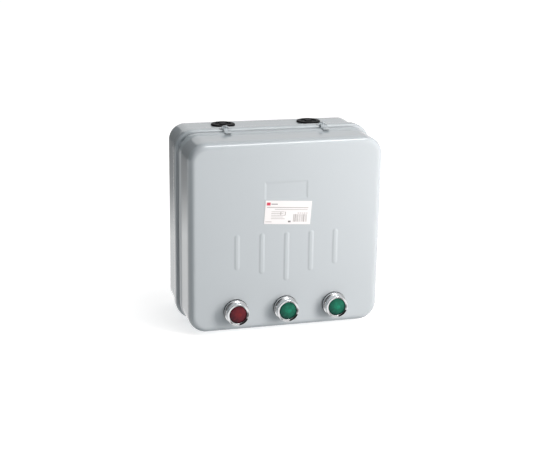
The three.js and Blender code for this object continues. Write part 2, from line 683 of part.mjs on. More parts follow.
const relay = groupAt(starter, RELAY.x, DEVICE_BACK, RELAY.top);
addPiece(relay, 'overload_housing', relayHousing(), LIGHT_PLASTIC);
const dial = addPiece(relay, 'overload_dial', relayDial(), LIGHT_PLASTIC);
dial.position.set(DIAL.x, 0, DIAL.z);
const reset = addPiece(relay, 'overload_reset_button', relayButton(RESET, 12), BLUE_PLASTIC);
reset.position.set(RESET.x, 0, RESET.z);
const tripTest = addPiece(relay, 'overload_test_button', relayButton(TRIP_TEST, 10), RED_PLASTIC);
tripTest.position.set(TRIP_TEST.x, 0, TRIP_TEST.z);
addPiece(relay, 'overload_trip_slider', tripSlider(), DARK_PLASTIC);
[-12, 0, 12].forEach((x, index) => {
  const strip = addPiece(relay, `overload_bimetal_${index + 1}`, bimetalStrip(), BRASS);
  strip.position.x = x;
});

export default starter;
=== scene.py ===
"""The looks of a reversing magnetic motor starter in a drawn sheet-steel enclosure.

Lengths are in millimetres in this script and become metres where a mesh is made. X runs right,
Y runs back to the wall and Z runs up. The origin is the centre of the enclosure's flat back.
"""

import json
import math
import random

import bmesh
import bpy
import numpy as np
from mathutils import Matrix, Vector


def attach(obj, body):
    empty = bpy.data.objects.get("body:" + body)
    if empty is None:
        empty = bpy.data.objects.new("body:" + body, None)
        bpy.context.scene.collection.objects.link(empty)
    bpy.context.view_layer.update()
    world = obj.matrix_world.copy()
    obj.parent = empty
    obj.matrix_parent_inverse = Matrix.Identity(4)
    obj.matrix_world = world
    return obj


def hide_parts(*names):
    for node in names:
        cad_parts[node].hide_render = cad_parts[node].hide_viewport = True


MM = 0.001
random.seed(7)

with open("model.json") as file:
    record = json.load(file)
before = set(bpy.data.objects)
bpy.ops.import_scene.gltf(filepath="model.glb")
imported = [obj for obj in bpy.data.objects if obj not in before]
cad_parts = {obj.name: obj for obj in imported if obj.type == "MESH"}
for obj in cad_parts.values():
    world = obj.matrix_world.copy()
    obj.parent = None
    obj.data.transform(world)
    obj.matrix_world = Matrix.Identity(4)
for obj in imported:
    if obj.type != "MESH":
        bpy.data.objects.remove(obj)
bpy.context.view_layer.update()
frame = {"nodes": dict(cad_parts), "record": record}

# ---------------------------------------------------------------- driving dimensions
DEPTH = 129
FACE_Y = -DEPTH
SHEET = 1.5
EDGE = 8.5
RIM_SLOPE = 6
GAP = 0.3
# two trays that meet at a seam; each has a rim wider than its walls, bent over into a flange
COVER = {"width": 234, "height": 229, "corner": 22, "face": FACE_Y, "seam": -70.5, "rim_length": 8.5,
         "flange": 8, "rim_width": 236.5, "rim_height": 232, "bend": 2.6}
BASE = {"width": 235, "height": 230.5, "corner": 20, "face": 0, "seam": -67.5, "rim_length": 13,
        "flange": 10.5, "rim_width": 242, "rim_height": 236.5, "bend": 3.4}

ENTRY = {"x": 54.3, "y": -28, "hole": 12.5, "flange": 14.8}
FIXING = {"x": 99, "z": 96, "radius": 3.2}
BUTTON = {"pitch": 61, "z": -89, "hole": 11.3, "proud": 14}
RIB = {"pitch": 30, "top": 6, "width": 7.5, "height": 0.6, "slope": 2.6}
RIB_LENGTHS = [44.5, 51, 61.5, 51, 44.5]
RECESS = {"x": -1.2, "z": 56, "width": 53.5, "height": 23, "depth": 0.6, "slope": 3}
LABEL = {"x": 1, "z": 29, "width": 56.5, "height": 28.3, "thickness": 0.3, "tilt": 3.7}
HINGE = {"x": 60.3, "y": -65.5, "bar": 0.6, "inner": 1.3, "outer": 1.9, "width": 5.2}
HINGE_Z = BASE["rim_height"] / 2 + GAP + HINGE["outer"]
STAPLE = {"leg": 1.2, "foot": 2.4, "front": -1, "back": 4, "height": 0.8}
LEAF = {"width": 8, "end": -84, "thickness": 0.6}
SCREW = {"x": 90, "y": -75, "radius": 2.5, "head": 4.6, "head_height": 3}
TONGUE_Z = -105.5
BARREL = {"radius": 11, "bore": 9.2, "back": 15}
LENS_RADIUS = 10.4

# the grid of a tray's face: its line spacing in mm, and how far its fine stretches reach
GRID = {"fine_x": 0.45, "fine_z": 0.6, "coarse": 6, "corner_lines": 8, "rib_side": 4.2, "rib_end": 4.5,
        "recess": 3.5, "margin": 0.5}
THROUGH = 9  # how far a cutter for a hole reaches past the sheet on each side

SIDES = {"left": -1, "right": 1}
BUTTONS = {"stop": -1, "forward": 0, "reverse": 1}
ROUND = 96


# the studio's sky: grey levels from the far left (0) to the far right (1), and soft patches, some
# darker and some brighter, as (direction, degrees where full, degrees where gone, level)
SKY_LEVELS = [(0.0, 0.06), (0.2, 0.12), (0.42, 0.74), (0.8, 0.74), (1.0, 0.45)]
SKY_STRENGTH = 0.92
GROUND_LEVEL = 1.02
HORIZON = (0.02, -0.06)  # heights of a direction where the sky starts to fade to the ground, and ends
PATCHES = [((0.0, 0.0, -1.0), 15, 35, 0.10), ((-0.72, -0.62, -0.28), 12, 24, 0.10),
           ((-0.22, -0.92, 0.30), 22, 27, 0.02), ((0.68, -0.72, 0.14), 4, 7, 0.02),
           ((-0.66, 0.69, -0.29), 9, 20, 2.0), ((-0.95, 0.0, -0.28), 12, 20, 3.2)]
FLOOR = {"z": -119.4, "size": 15000, "shift": 4000, "glow": 0.58}  # just under the cover screws' heads
BACKDROP = {"radius": 14000, "foot": -120, "head": 6000, "sides": 64}
CARD = {"left": -420, "right": -150, "y": 460, "bottom": -180, "top": 900, "fade_end": 200}
CARD_LEVELS = [(0.0, 0.98), (0.24, 0.36), (0.55, 0.12), (1.0, 0.12)]

# the lights, in metres and watts
KEY = {"place": (0.50, -0.68, 0.12), "target": (0.06, -0.13, 0), "size": (0.25, 0.9), "power": 9.7,
       "colour": (1.0, 0.905, 0.86), "in_reflections": False}
TOP = {"place": (0.30, -0.45, 1.20), "target": (0.0, -0.10, 0.1), "size": (0.9, 0.25), "power": 5.2,
       "colour": (1.0, 1.0, 1.0), "in_reflections": True}
CAMERA = {"azimuth": -15.58, "elevation": 16.42, "roll": 0.94, "target": (-14.55, FACE_Y, 14.69),
          "distance": 1341, "lens": 74.97, "sensor": 36, "clip": (0.05, 60)}


# ---------------------------------------------------------------- materials
def node_adder(tree):
    """A function that adds a shader node to a tree, with its inputs set or linked by name."""
    def add(kind, **inputs):
        node = tree.nodes.new("ShaderNode" + kind)
        for key, value in inputs.items():
            socket = node.inputs[key.replace("_", " ")]
            if isinstance(value, bpy.types.NodeSocket):
                tree.links.new(value, socket)
            else:
                socket.default_value = value
        return node

    return add


def node_material(name):
    """A new material, its principled shader, a function that adds a node, and its tree."""
    made = bpy.data.materials.new(name)
    made.use_nodes = True
    tree = made.node_tree
    tree.nodes.clear()
    output = tree.nodes.new("ShaderNodeOutputMaterial")
    shader = tree.nodes.new("ShaderNodeBsdfPrincipled")
    tree.links.new(shader.outputs["BSDF"], output.inputs["Surface"])
    return made, shader, node_adder(tree), tree


def blend_between(tree, share, first, second):
    """A colour that goes from the first to the second, each a colour or a link, as the share rises."""
    blend = tree.nodes.new("ShaderNodeMix")
    blend.data_type = "RGBA"
    tree.links.new(share, blend.inputs["Factor"])
    for end, colour in (("A", first), ("B", second)):
        if isinstance(colour, bpy.types.NodeSocket):
            tree.links.new(colour, blend.inputs[end])
        else:
            blend.inputs[end].default_value = colour
    return blend.outputs["Result"]


def rgba(colour, scale=1.0):
    """A colour with its alpha, made lighter or darker by a factor."""
    return (*[min(1.0, channel * scale) for channel in colour], 1.0)


def finish_of(name, colour, roughness, metallic=0.0, mottle=0.05, patch=25, grain=900, grain_depth=0.00002,
              coat=0.0, specular=0.5):
    """A finish that varies a little: broad mottling of its colour and gloss, and a fine grain."""
    made, shader, add, tree = node_material(name)
    place = add("TexCoord").outputs["Object"]
    broad = add("TexNoise", Vector=place, Scale=patch, Detail=3.0)
    tint = add("MapRange", Value=broad.outputs["Fac"], From_Min=0.2, From_Max=0.8)
    blend = blend_between(tree, tint.outputs["Result"], rgba(colour, 1 - mottle), rgba(colour, 1 + mottle))
    tree.links.new(blend, shader.inputs["Base Color"])
    gloss = add("MapRange", Value=broad.outputs["Fac"], From_Min=0.2, From_Max=0.8,
                To_Min=roughness * 0.9, To_Max=min(1.0, roughness * 1.1))
    tree.links.new(gloss.outputs["Result"], shader.inputs["Roughness"])
    fine = add("TexNoise", Vector=place, Scale=grain, Detail=2.0)
    bump = add("Bump", Height=fine.outputs["Fac"], Distance=grain_depth, Strength=1.0)
    tree.links.new(bump.outputs["Normal"], shader.inputs["Normal"])
    shader.inputs["Metallic"].default_value = metallic
    shader.inputs["Coat Weight"].default_value = coat
    shader.inputs["Coat Roughness"].default_value = 0.05
    shader.inputs["Specular IOR Level"].default_value = specular
    return made


def banded(name, dark, light, roughness, metallic, axis, pitch, depth):
    """Fine parallel bands: the edges of stacked laminations, or the turns of a winding."""
    made, shader, add, tree = node_material(name)
    place = add("TexCoord").outputs["Object"]
    wave = add("TexWave", Vector=place, Scale=math.pi / (10 * pitch * MM), Distortion=0.4, Detail=1.0)
    wave.bands_direction = axis
    blend = blend_between(tree, wave.outputs["Fac"], rgba(dark), rgba(light))
    tree.links.new(blend, shader.inputs["Base Color"])
    bump = add("Bump", Height=wave.outputs["Fac"], Distance=depth * MM, Strength=1.0)
    tree.links.new(bump.outputs["Normal"], shader.inputs["Normal"])
    shader.inputs["Roughness"].default_value = roughness
    shader.inputs["Metallic"].default_value = metallic
    return made


def lens_material(name, heart, middle, rim):
    """A cap with a painted glow as if lit from behind: painted bright at its heart, which sits a little up and
    to the right as a painted highlight, and painted darker towards its rim; cloudy and pebbled.
    """
    # the offset moves the heart of the painted glow up and to the right, where the painted highlight sits
    painted_highlight_offset, reach_to_rim = 1.5 * MM, 12 * MM
    sway_range, pebble_depth, middle_at = 1.1, 0.25 * MM, 0.4
    made, shader, add, tree = node_material(name)
    place = add("TexCoord").outputs["Object"]
    flat = add("VectorMath", Vector=place)
    flat.operation = "MULTIPLY"
    flat.inputs[1].default_value = (1, 0, 1)
    off_centre = add("VectorMath")
    off_centre.operation = "SUBTRACT"
    tree.links.new(flat.outputs["Vector"], off_centre.inputs[0])
    off_centre.inputs[1].default_value = (painted_highlight_offset, 0, painted_highlight_offset)
    reach = add("VectorMath")
    reach.operation = "LENGTH"
    tree.links.new(off_centre.outputs["Vector"], reach.inputs[0])
    pebbles = add("TexVoronoi", Vector=place, Scale=480.0)
    cloud = add("TexNoise", Vector=place, Scale=230.0, Detail=2.0)
    outward = add("MapRange", Value=reach.outputs["Value"], From_Min=0.0, From_Max=reach_to_rim)
    sway = add("Math")
    sway.operation = "MULTIPLY_ADD"
    tree.links.new(cloud.outputs["Fac"], sway.inputs[0])
    sway.inputs[1].default_value = sway_range
    sway.inputs[2].default_value = -sway_range / 2
    total = add("Math")
    total.operation = "ADD"
    tree.links.new(outward.outputs["Result"], total.inputs[0])
    tree.links.new(sway.outputs["Value"], total.inputs[1])
    ramp = add("ValToRGB", Fac=total.outputs["Value"])
    ramp.color_ramp.elements[0].color = rgba(heart)
    ramp.color_ramp.elements[1].color = rgba(rim)
    ramp.color_ramp.elements.new(middle_at).color = rgba(middle)
    tree.links.new(ramp.outputs["Color"], shader.inputs["Base Color"])
    bump = add("Bump", Height=pebbles.outputs["Distance"], Distance=pebble_depth, Strength=0.5)
    tree.links.new(bump.outputs["Normal"], shader.inputs["Normal"])
    shader.inputs["Roughness"].default_value = 0.25
    shader.inputs["Specular IOR Level"].default_value = 0.2
    shader.inputs["Coat Weight"].default_value = 0.1
    shader.inputs["Coat Roughness"].default_value = 0.04
    return made


ENAMEL = finish_of("enamel", (0.412, 0.462, 0.493), 0.13, mottle=0.008, patch=9, grain=500,
                   grain_depth=0.000002, coat=0.6)
RUBBER = finish_of("rubber", (0.006, 0.006, 0.007), 0.42, mottle=0.2, grain=1500, specular=0.06)
SPONGE = finish_of("sponge", (0.014, 0.014, 0.015), 0.95, mottle=0.3, grain=600, grain_depth=0.0002,
                   specular=0.1)
ZINC = finish_of("zinc", (0.60, 0.62, 0.64), 0.32, metallic=1.0, mottle=0.10, patch=60, grain=1200)
CHROME = finish_of("chrome", (0.86, 0.87, 0.88), 0.07, metallic=1.0, mottle=0.01, grain=400,
                   grain_depth=0.000001)
PAPER = finish_of("paper", (0.71, 0.72, 0.735), 0.45, mottle=0.01, grain=2500, grain_depth=0.000004)
BRASS = finish_of("brass", (0.72, 0.52, 0.22), 0.28, metallic=1.0, mottle=0.08, patch=80)
DARK_PLASTIC = finish_of("dark_moulding", (0.035, 0.037, 0.040), 0.42, mottle=0.1, grain=2600,
                         grain_depth=0.00003)
LIGHT_PLASTIC = finish_of("light_moulding", (0.66, 0.67, 0.64), 0.45, mottle=0.03, grain=2600,
                          grain_depth=0.00003)
BLUE_PLASTIC = finish_of("blue_moulding", (0.02, 0.10, 0.42), 0.30, mottle=0.05, grain=2600)
RED_PLASTIC = finish_of("red_moulding", (0.50, 0.02, 0.02), 0.30, mottle=0.05, grain=2600)
INK_DARK = finish_of("ink_dark", (0.16, 0.16, 0.17), 0.55, mottle=0.1, grain=2500)
INK_FAINT = finish_of("ink_faint", (0.36, 0.36, 0.36), 0.55, mottle=0.05, grain=2500)
INK_RED = finish_of("ink_red", (0.55, 0.06, 0.10), 0.5, mottle=0.1, grain=2500)
IRON = banded("laminations", (0.12, 0.12, 0.125), (0.34, 0.34, 0.35), 0.42, 0.9, "X", 0.5, 0.05)
WINDING = banded("winding", (0.22, 0.07, 0.03), (0.66, 0.27, 0.12), 0.35, 0.6, "Y", 0.6, 0.2)
# the lens colours are a painted glow: bright at the heart, painted darker towards the rim
RED_LENS = lens_material("red_lens", (0.155, 0.013, 0.014), (0.11, 0.009, 0.016), (0.045, 0.006, 0.012))
GREEN_LENS = lens_material("green_lens", (0.006, 0.20, 0.115), (0.004, 0.115, 0.068), (0.003, 0.05, 0.038))

SLOT_MATERIALS = {
    "grey_enamel": ENAMEL, "black_rubber": RUBBER, "zinc_steel": ZINC, "label_paper": PAPER,
    "brass": BRASS, "chrome": CHROME, "red_lens": RED_LENS, "green_lens": GREEN_LENS,
    "dark_plastic": DARK_PLASTIC, "light_plastic": LIGHT_PLASTIC, "laminated_iron": IRON,
    "copper_winding": WINDING, "blue_plastic": BLUE_PLASTIC, "red_plastic": RED_PLASTIC,
}


# ---------------------------------------------------------------- meshes
def add_object(name, bm, materials, location=(0, 0, 0), smooth=35):
    """Turns a mesh in millimetres into an object, sharp where it bends by more than smooth degrees."""
    bmesh.ops.recalc_face_normals(bm, faces=bm.faces)
    bmesh.ops.scale(bm, vec=(MM, MM, MM), verts=bm.verts)
    mesh = bpy.data.meshes.new(name)
    bm.to_mesh(mesh)
    bm.free()
    for polygon in mesh.polygons:
        polygon.use_smooth = True
    mesh.set_sharp_from_angle(angle=math.radians(smooth))
    for material in materials if isinstance(materials, list) else [materials]:
        mesh.materials.append(material)
    made = bpy.data.objects.new(name, mesh)
    made.location = Vector(location) * MM
    bpy.context.scene.collection.objects.link(made)
    return made


def settle(obj, body, slot, *nodes):
    """The piece moves with a body and stands for CAD nodes, which it hides; the slot is not used."""
    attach(obj, body)
    if nodes:
        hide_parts(*nodes)


def softened(points, radius, closed=False, steps=3):
    """An outline with each corner rounded by an arc that starts up to radius away from it."""
    out = []
    count = len(points)
    for i, point in enumerate(points):
        here = Vector(point)
        if not closed and i in (0, count - 1):
            out.append(here)
            continue
        back, on = Vector(points[i - 1]) - here, Vector(points[(i + 1) % count]) - here
        reach = min(radius, back.length * 0.45, on.length * 0.45)
        start, end = here + back.normalized() * reach, here + on.normalized() * reach
        for step in range(steps + 1):
            t = step / steps
            out.append(start.lerp(here, t).lerp(here.lerp(end, t), t))
    return out


def turned(profile, sides=ROUND, soft=0.25, axis="Y"):
    """A turned body. The profile is (radius, along) pairs; one that leaves the axis alone is a ring."""
    ring = profile[0][0] > 0
    points = softened(profile, soft, closed=ring)
    bm = bmesh.new()
    rows = []
    for radius, along in points:
        if radius < 1e-6:
            rows.append([bm.verts.new(on_axis(axis, 0, 0, along))] * sides)
            continue
        angles = (2 * math.pi * k / sides for k in range(sides))
        rows.append([bm.verts.new(on_axis(axis, radius * math.cos(a), radius * math.sin(a), along))
                     for a in angles])
    pairs = zip(rows, rows[1:] + rows[:1]) if ring else zip(rows, rows[1:])
    for row, following in pairs:
        for k in range(sides):
            corners = [row[k], row[(k + 1) % sides], following[(k + 1) % sides], following[k]]
            distinct = list(dict.fromkeys(corners))
            if len(distinct) > 2:
                bm.faces.new(distinct)
    return bm


def on_axis(axis, a, b, along):
    """The point with coordinates a and b across an axis, and along it."""
    return {"X": (along, a, b), "Y": (a, along, b), "Z": (a, b, along)}[axis]


def rounded_box(low, high, radius=0.4, steps=2):
    """A box between two corners, with its edges rounded."""
    bm = bmesh.new()
    bmesh.ops.create_cube(bm, size=1)
    size = [end - start for start, end in zip(low, high)]
    bmesh.ops.scale(bm, vec=size, verts=bm.verts)
    bmesh.ops.translate(bm, vec=[(start + end) / 2 for start, end in zip(low, high)], verts=bm.verts)
    reach = min(radius, min(size) * 0.45)
    if reach > 0:
        bmesh.ops.bevel(bm, geom=bm.edges, offset=reach, segments=steps, affect="EDGES", profile=0.5)
    return bm


def prism(outline, axis, start, end, radius=0.3):
    """An outline of (a, b) pairs drawn across an axis, made solid from start to end."""
    bm = bmesh.new()
    low = [bm.verts.new(on_axis(axis, a, b, start)) for a, b in outline]
    high = [bm.verts.new(on_axis(axis, a, b, end)) for a, b in outline]
    bm.faces.new(low)
    bm.faces.new(high[::-1])
    for k in range(len(outline)):
        following = (k + 1) % len(outline)
        bm.faces.new([low[k], high[k], high[following], low[following]])
    bmesh.ops.recalc_face_normals(bm, faces=bm.faces)
    if radius:
        bmesh.ops.bevel(bm, geom=bm.edges, offset=radius, segments=2, affect="EDGES", profile=0.5)
    return bm


def hexagon(radius):
    """The corners of a hexagon."""
    turns = [math.radians(60 * k) for k in range(6)]
    return [(radius * math.cos(turn), radius * math.sin(turn)) for turn in turns]


def moved(bm, by, turn=None):
    """The same body after a turn about the origin, if one is given, and a shift."""
    if turn:
        bmesh.ops.rotate(bm, cent=(0, 0, 0), matrix=turn, verts=bm.verts)
    bmesh.ops.translate(bm, vec=by, verts=bm.verts)
    return bm


def together(parts, material_indices=None):
    """Several bodies in one mesh, each with its own material index if they are given."""
    whole = bmesh.new()
    for number, part in enumerate(parts):
        before = len(whole.faces)
        mesh = bpy.data.meshes.new("part")
        part.to_mesh(mesh)
        part.free()
        whole.from_mesh(mesh)
        bpy.data.meshes.remove(mesh)
        whole.faces.ensure_lookup_table()
        if material_indices:
            for face in whole.faces[before:]:
                face.material_index = material_indices[number]
    return whole


def cut(obj, cutter_bm, smooth=35):
    """Cuts a mesh, given in millimetres, out of an object for good."""
    cutter = add_object("cutter", cutter_bm, ENAMEL)
    cutter.location = obj.location
    bpy.context.view_layer.update()
    tool = obj.modifiers.new("cut", "BOOLEAN")
    tool.operation = "DIFFERENCE"
    tool.solver = "EXACT"
    tool.object = cutter
    keep_modified(obj, smooth)
    bpy.data.objects.remove(cutter)


def keep_modified(obj, smooth=35):
    """Makes an object's modifiers permanent."""
    graph = bpy.context.evaluated_depsgraph_get()
    mesh = bpy.data.meshes.new_from_object(obj.evaluated_get(graph))
    obj.modifiers.clear()
    obj.data = mesh
    mesh.set_sharp_from_angle(angle=math.radians(smooth))


# ---------------------------------------------------------------- drawn steel shells
def graded(half, fine_spans, fine, coarse):
    """Line positions from -half to half, close together inside the fine spans."""
    stops = sorted({-half, half, *[s for span in fine_spans for s in span if abs(s) < half]})
    lines = [-half]
    for low, high in zip(stops, stops[1:]):
        middle = (low + high) / 2
        is_fine = any(a <= middle <= b for a, b in fine_spans)
        count = max(1, math.ceil((high - low) / (fine if is_fine else coarse)))
        lines += [low + (high - low) * k / count for k in range(1, count + 1)]
    return np.array(lines)


def eased(value):
    """0 below 0, 1 above 1 and a smooth S between them."""
    clipped = np.clip(value, 0, 1)
    return clipped * clipped * (3 - 2 * clipped)


def cover_relief(x, z):
    """How far the cover's face stands forward of its flat: the ribs rise and the name panel sinks."""
    height = np.zeros_like(x)
    radius = RIB["width"] / 2
    for index, length in enumerate(RIB_LENGTHS):
        axis_z = np.clip(z, RIB["top"] - length + radius, RIB["top"] - radius)
        away = np.hypot(x - rib_centre(index), z - axis_z)
        height += RIB["height"] * eased((radius - away) / RIB["slope"])
    corner = 2.0
    over_x = np.abs(x - RECESS["x"]) - RECESS["width"] / 2 + corner
    over_z = np.abs(z - RECESS["z"]) - RECESS["height"] / 2 + corner
    inside = np.minimum(np.maximum(over_x, over_z), 0)
    outside = np.hypot(np.maximum(over_x, 0), np.maximum(over_z, 0)) + inside
    height -= RECESS["depth"] * eased((corner - outside) / RECESS["slope"])
    return height


def flat_relief(x, z):
    """No relief: the base's back is flat."""
    return np.zeros_like(x)


def rib_centre(index):
    """X of a rib, counted from the left."""
    return (index - (len(RIB_LENGTHS) - 1) / 2) * RIB["pitch"]


def tray(name, outline, relief, fine_x, fine_z):
    """A tray drawn from one sheet: face, rounded edge, side walls, a step out to the rim, and a flange."""
    half_x, half_z = outline["width"] / 2 - EDGE, outline["height"] / 2 - EDGE
    corner = outline["corner"] - EDGE
    centre_x, centre_z = half_x - corner, half_z - corner
    lines_per_corner = GRID["corner_lines"]
    corner_lines = [corner * k / lines_per_corner for k in range(1, lines_per_corner + 1)]
    inner_x = graded(centre_x, fine_x, GRID["fine_x"], GRID["coarse"])
    inner_z = graded(centre_z, fine_z, GRID["fine_z"], GRID["coarse"])
    lines_x = np.concatenate([[-centre_x - c for c in corner_lines[::-1]], inner_x,
                              [centre_x + c for c in corner_lines]])
    lines_z = np.concatenate([[-centre_z - c for c in corner_lines[::-1]], inner_z,
                              [centre_z + c for c in corner_lines]])
    x, z = np.meshgrid(lines_x, lines_z, indexing="ij")
    # the square corners of the grid are drawn in to quarter circles
    u = np.maximum(np.abs(x) - centre_x, 0) / corner
    v = np.maximum(np.abs(z) - centre_z, 0) / corner
    in_corner = (u > 0) & (v > 0)
    round_x = np.sign(x) * (centre_x + corner * u * np.sqrt(1 - v * v / 2))
    round_z = np.sign(z) * (centre_z + corner * v * np.sqrt(1 - u * u / 2))
    x, z = np.where(in_corner, round_x, x), np.where(in_corner, round_z, z)
    y = outline["face"] - relief(x, z)

    bm = bmesh.new()
    grid = [[bm.verts.new((x[i, j], y[i, j], z[i, j])) for j in range(len(lines_z))]
            for i in range(len(lines_x))]
    for i in range(len(lines_x) - 1):
        for j in range(len(lines_z) - 1):
            bm.faces.new([grid[i][j], grid[i + 1][j], grid[i + 1][j + 1], grid[i][j + 1]])
    last_i, last_j = len(lines_x) - 1, len(lines_z) - 1
    border = [(i, 0) for i in range(last_i)] + [(last_i, j) for j in range(last_j)]
    border += [(i, last_j) for i in range(last_i, 0, -1)] + [(0, j) for j in range(last_j, 0, -1)]

    start, outward = [], []
    for i, j in border:
        px, pz = x[i, j], z[i, j]
        away = Vector((math.copysign(max(abs(px) - centre_x, 0), px), 0,
                       math.copysign(max(abs(pz) - centre_z, 0), pz)))
        start.append(Vector((px, 0, pz)))
        outward.append(away.normalized())
    spread = Vector(((outline["rim_width"] - outline["width"]) / 2, 0,
                     (outline["rim_height"] - outline["height"]) / 2))

    row = [grid[i][j] for i, j in border]
    for reach, share, ring_y in tray_rings(outline):
        ring = []
        for point, direction in zip(start, outward):
            step_out = Vector((direction.x * spread.x, 0, direction.z * spread.z)) * share
            place = point + direction * reach + step_out
            ring.append(bm.verts.new((place.x, ring_y, place.z)))
        for k in range(len(ring)):
            following = (k + 1) % len(ring)
            bm.faces.new([row[k], row[following], ring[following], ring[k]])
        row = ring
    shell = add_object(name, bm, ENAMEL)
    thick = shell.modifiers.new("sheet", "SOLIDIFY")
    thick.thickness = SHEET * MM
    thick.offset = -1
    thick.use_even_offset = True
    keep_modified(shell)
    return shell


def tray_rings(outline):
    """The rings from the face's border to the flange: how far out, how much of the rim's step, and Y."""
    face_y, seam_y, bend = outline["face"], outline["seam"], outline["bend"]
    towards = math.copysign(1, seam_y - face_y)
    rings = []
    for k in range(1, 13):
        turn = math.radians(90) * k / 12
        rings.append((EDGE * math.sin(turn), 0, face_y + towards * EDGE * (1 - math.cos(turn))))
    rim_start = seam_y - towards * outline["rim_length"]
    wall_start, wall_end = rings[-1][2], rim_start - towards * RIM_SLOPE
    rings += [(EDGE, 0, wall_start + (wall_end - wall_start) * k / 4) for k in range(1, 5)]
    for k in range(1, 9):
        share = float(eased(np.array(k / 8)))
        rings.append((EDGE, share, wall_end + (rim_start - wall_end) * k / 8))
    rings += [(EDGE, 1, rim_start + (seam_y - towards * bend - rim_start) * k / 3) for k in range(1, 4)]
    for k in range(1, 9):
        turn = math.radians(90) * k / 8
        rings.append((EDGE - bend * (1 - math.cos(turn)), 1, seam_y - towards * bend * (1 - math.sin(turn))))
    rings.append((EDGE - outline["flange"], 1, seam_y))
    return rings


def hole_along_y(radius, x, z, y0, y1):
    """A round cutter along Y."""
    return moved(turned([(0, y0), (radius, y0), (radius, y1), (0, y1)], 64, 0), (x, 0, z))


def hole_along_z(radius, x, y, z0, z1):
    """A round cutter along Z."""
    return moved(turned([(0, z0), (radius, z0), (radius, z1), (0, z1)], 64, 0, "Z"), (x, y, 0))


def recess_spans(centre, size):
    """The stretches of an axis where the recess has an edge."""
    low, high = centre - size / 2, centre + size / 2
    return [(low - GRID["margin"], low + GRID["recess"]), (high - GRID["recess"], high + GRID["margin"])]


def relief_spans():
    """Where the grid of the cover's face has to be fine, along X and along Z."""
    centres = [rib_centre(index) for index in range(len(RIB_LENGTHS))]
    fine_x = [(x - GRID["rib_side"], x + GRID["rib_side"]) for x in centres]
    fine_x += recess_spans(RECESS["x"], RECESS["width"])
    fine_z = [(RIB["top"] - GRID["rib_end"], RIB["top"] + GRID["margin"])]
    for length in sorted(set(RIB_LENGTHS)):
        bottom = RIB["top"] - length
        fine_z.append((bottom - GRID["margin"], bottom + GRID["rib_end"]))
    fine_z += recess_spans(RECESS["z"], RECESS["height"])
    return fine_x, fine_z


def cover_shell():
    """The cover, with holes for the buttons and for the screws in its lower wall."""
    shell = tray("cover", COVER, cover_relief, *relief_spans())
    holes = [hole_along_y(BUTTON["hole"], place * BUTTON["pitch"], BUTTON["z"], FACE_Y - THROUGH,
                          FACE_Y + THROUGH)
             for place in BUTTONS.values()]
    holes += [hole_along_z(SCREW["radius"] + GAP, side * SCREW["x"], SCREW["y"], -COVER["height"], 0)
              for side in SIDES.values()]
    cut(shell, together(holes))
    settle(shell, "cover", "grey_enamel", "cover_shell")


def base_shell():
    """The base, with holes for the cable entries above and below and for four fixings in the back."""
    shell = tray("base", BASE, flat_relief, [], [])
    holes = [hole_along_z(ENTRY["hole"], side * ENTRY["x"], ENTRY["y"], -BASE["height"], BASE["height"])
             for side in SIDES.values()]
    holes += [hole_along_y(FIXING["radius"], side_x * FIXING["x"], side_z * FIXING["z"], -THROUGH, THROUGH)
              for side_x in (-1, 1) for side_z in (-1, 1)]
    cut(shell, together(holes))
    settle(shell, "base", "grey_enamel", "base_shell")


def seam_gasket():
    """A sponge strip on the cover's flange, in a rounded rectangle."""
    outline = []
    inset, radius = 4.9, 17.1
    half_x, half_z = COVER["rim_width"] / 2 - inset, COVER["rim_height"] / 2 - inset
    for quarter, (side_x, side_z) in enumerate([(1, 1), (-1, 1), (-1, -1), (1, -1)]):
        for k in range(13):
            turn = math.radians(90) * (quarter + k / 12)
            outline.append((side_x * (half_x - radius) + radius * math.cos(turn),
                            side_z * (half_z - radius) + radius * math.sin(turn)))
    middle, half_width, half_height = (COVER["seam"] + BASE["seam"]) / 2, 3.0, 1.3
    section = softened([(-half_width, -half_height), (half_width, -half_height), (half_width, half_height),
                        (-half_width, half_height)], 0.9, closed=True)
    bm = bmesh.new()
    rows = []
    for k, (px, pz) in enumerate(outline):
        ahead = Vector(outline[(k + 1) % len(outline)]) - Vector(outline[k - 1])
        normal = Vector((ahead.y, -ahead.x)).normalized()
        rows.append([bm.verts.new((px + normal.x * a, middle + b, pz + normal.y * a)) for a, b in section])
    for row, following in zip(rows, rows[1:] + rows[:1]):
        for k in range(len(section)):
            beside = (k + 1) % len(section)
            bm.faces.new([row[k], row[beside], following[beside], following[k]])
    settle(add_object("seal", bm, SPONGE), "cover", "black_rubber", "cover_gasket")


# ---------------------------------------------------------------- small fittings on the enclosure
def grommet(name, side, end):
    """A rubber grommet with a stepped membrane, about the outside of the base's top or bottom wall."""
    collar = ENTRY["hole"] - 0.15
    profile = [(0, -0.4), (4.5, -0.4), (5, -2.2), (8.5, -2.2), (9, -4.5), (collar, -4.5), (collar, 0),
               (ENTRY["flange"], 0), (ENTRY["flange"], 1.2), (ENTRY["flange"] - 1.2, 2.0), (9.7, 2.0),
               (9.2, 0.9), (7.6, 0.9), (7.3, 1.3), (6.9, 0.9), (4.9, 0.9), (4.5, 2.3), (0, 2.3)]
    bm = turned([(radius, along * end) for radius, along in profile], ROUND, 0.3, "Z")
    place = (side * ENTRY["x"], ENTRY["y"], end * BASE["height"] / 2)
    settle(add_object(name, bm, RUBBER, place), "base", "black_rubber", name)


